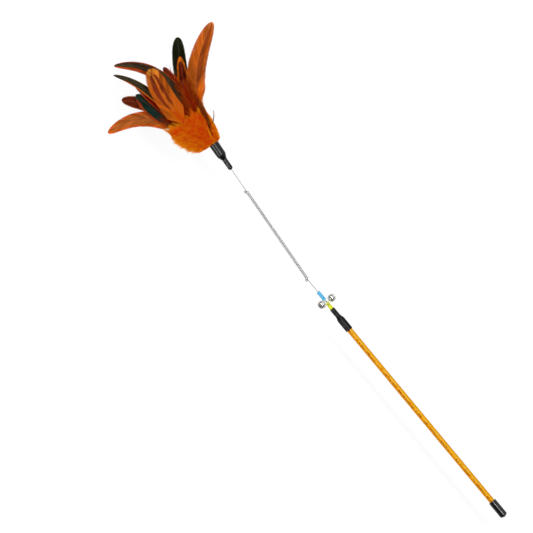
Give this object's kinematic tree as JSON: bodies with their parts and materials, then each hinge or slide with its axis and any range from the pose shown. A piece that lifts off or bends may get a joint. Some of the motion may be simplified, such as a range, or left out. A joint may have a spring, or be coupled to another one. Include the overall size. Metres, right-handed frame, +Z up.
{
  "type": "cat teaser wand",
  "caption": "Cat toy: a slim glitter rod with beads and jingle bells on a steel wire, a long coil spring and a lure of dyed feathers in a cap.",
  "frame": {"origin": "centre of the rod's butt end, on the rod's axis", "axes": "+X along the rod towards the feathers, +Z up from the surface that the wand lies on"},
  "size_m": [0.7139, 0.1774, 0.051],
  "materials": {
    "butt_rubber": "soft satin black",
    "rod_plastic": "clear orange with cast-in glitter",
    "sleeve_vinyl": "satin black",
    "wire_steel": "drawn bright wire",
    "yellow_bead": "opaque yellow",
    "blue_bead": "opaque sky blue",
    "bell_nickel": "bright nickel plate",
    "ball_steel": "plain steel",
    "spring_steel": "drawn spring wire",
    "head_plastic": "glossy black",
    "glue": "set glue",
    "down_orange": "dyed down",
    "feather_orange": "dyed vane with a brown stripe",
    "feather_dark": "green-black vane with an orange edge",
    "feather_brown": "red-brown vane with a dark middle"
  },
  "bodies": {
    "handle": {"butt_cap": "butt_rubber", "rod": "rod_plastic", "front_sleeve": "sleeve_vinyl", "rod_wire": "wire_steel", "yellow_bead_2": "yellow_bead"},
    "yellow_bead": {"yellow_bead_1": "yellow_bead"},
    "blue_stack": {"blue_bead_1": "blue_bead"},
    "blue_second": {"blue_bead_2": "blue_bead"},
    "blue_third": {"blue_bead_3": "blue_bead"},
    "blue_fourth": {"blue_bead_4": "blue_bead"},
    "bell_left": {"bell_left_top": "bell_nickel", "bell_left_bottom": "bell_nickel", "bell_left_loop": "bell_nickel"},
    "ball_left": {"bell_left_ball": "ball_steel"},
    "bell_right": {"bell_right_top": "bell_nickel", "bell_right_bottom": "bell_nickel", "bell_right_loop": "bell_nickel"},
    "ball_right": {"bell_right_ball": "ball_steel"},
    "spring": {"spring": "spring_steel"},
    "lure_wire": {"lure_wire": "wire_steel"},
    "head": {"head_cap": "head_plastic", "glue_plug": "glue", "down": "down_orange", "feather_01": "feather_brown", "feather_02": "feather_dark", "feather_03": "feather_orange", "feather_04": "feather_brown", "feather_05": "feather_dark", "feather_06": "feather_orange", "feather_07": "feather_brown", "feather_08": "feather_brown", "feather_09": "feather_dark", "feather_10": "feather_orange", "feather_11": "feather_dark", "feather_12": "feather_orange", "feather_13": "feather_orange", "feather_14": "feather_orange"}
  },
  "joints": [
    {"name": "yellow_bead_spin", "type": "hinge", "parent": "handle", "child": "yellow_bead", "pos_m": [0.32915, 0, 0], "axis": [1, 0, 0], "continuous": true},
    {"name": "blue_stack_slide", "type": "slide", "parent": "handle", "child": "blue_stack", "axis": [1, 0, 0], "range_m": [0, 0.0165]},
    {"name": "blue_second_spin", "type": "hinge", "parent": "blue_stack", "child": "blue_second", "pos_m": [0.3396, 0, 0], "axis": [1, 0, 0], "continuous": true},
    {"name": "blue_third_spin", "type": "hinge", "parent": "blue_stack", "child": "blue_third", "pos_m": [0.3429, 0, 0], "axis": [1, 0, 0], "continuous": true},
    {"name": "blue_fourth_spin", "type": "hinge", "parent": "blue_stack", "child": "blue_fourth", "pos_m": [0.3461, 0, 0], "axis": [1, 0, 0], "continuous": true},
    {"name": "bell_left_swing", "type": "hinge", "parent": "handle", "child": "bell_left", "pos_m": [0.3329, 0, 0], "axis": [1, 0, 0], "range_deg": [-65, 25]},
    {"name": "bell_right_swing", "type": "hinge", "parent": "handle", "child": "bell_right", "pos_m": [0.3317, 0, 0], "axis": [1, 0, 0], "range_deg": [-25, 65]},
    {"name": "ball_left_rattle", "type": "slide", "parent": "bell_left", "child": "ball_left", "axis": [0, 0, 1], "range_m": [0, 0.0056]},
    {"name": "ball_right_rattle", "type": "slide", "parent": "bell_right", "child": "ball_right", "axis": [0, 0, 1], "range_m": [0, 0.0056]},
    {"name": "spring_sway", "type": "hinge", "parent": "handle", "child": "spring", "pos_m": [0.39768, -0.00279, 0.0002], "axis": [0, 0, 1], "range_deg": [-45, 45], "stiffness_Nm_per_rad": 0.0052, "deforming": ["spring"]},
    {"name": "spring_stretch", "type": "slide", "parent": "spring", "child": "lure_wire", "axis": [0.9962, -0.0872, 0.0063], "range_m": [0, 0.03], "stiffness_N_per_m": 1400, "deforming": ["spring"]},
    {"name": "head_nod", "type": "hinge", "parent": "lure_wire", "child": "head", "pos_m": [0.50666, -0.01232, 0.00089], "axis": [0.0872, 0.9962, 0], "range_deg": [-25, 25], "stiffness_Nm_per_rad": 0.13, "deforming": ["lure_wire"]}
  ]
}
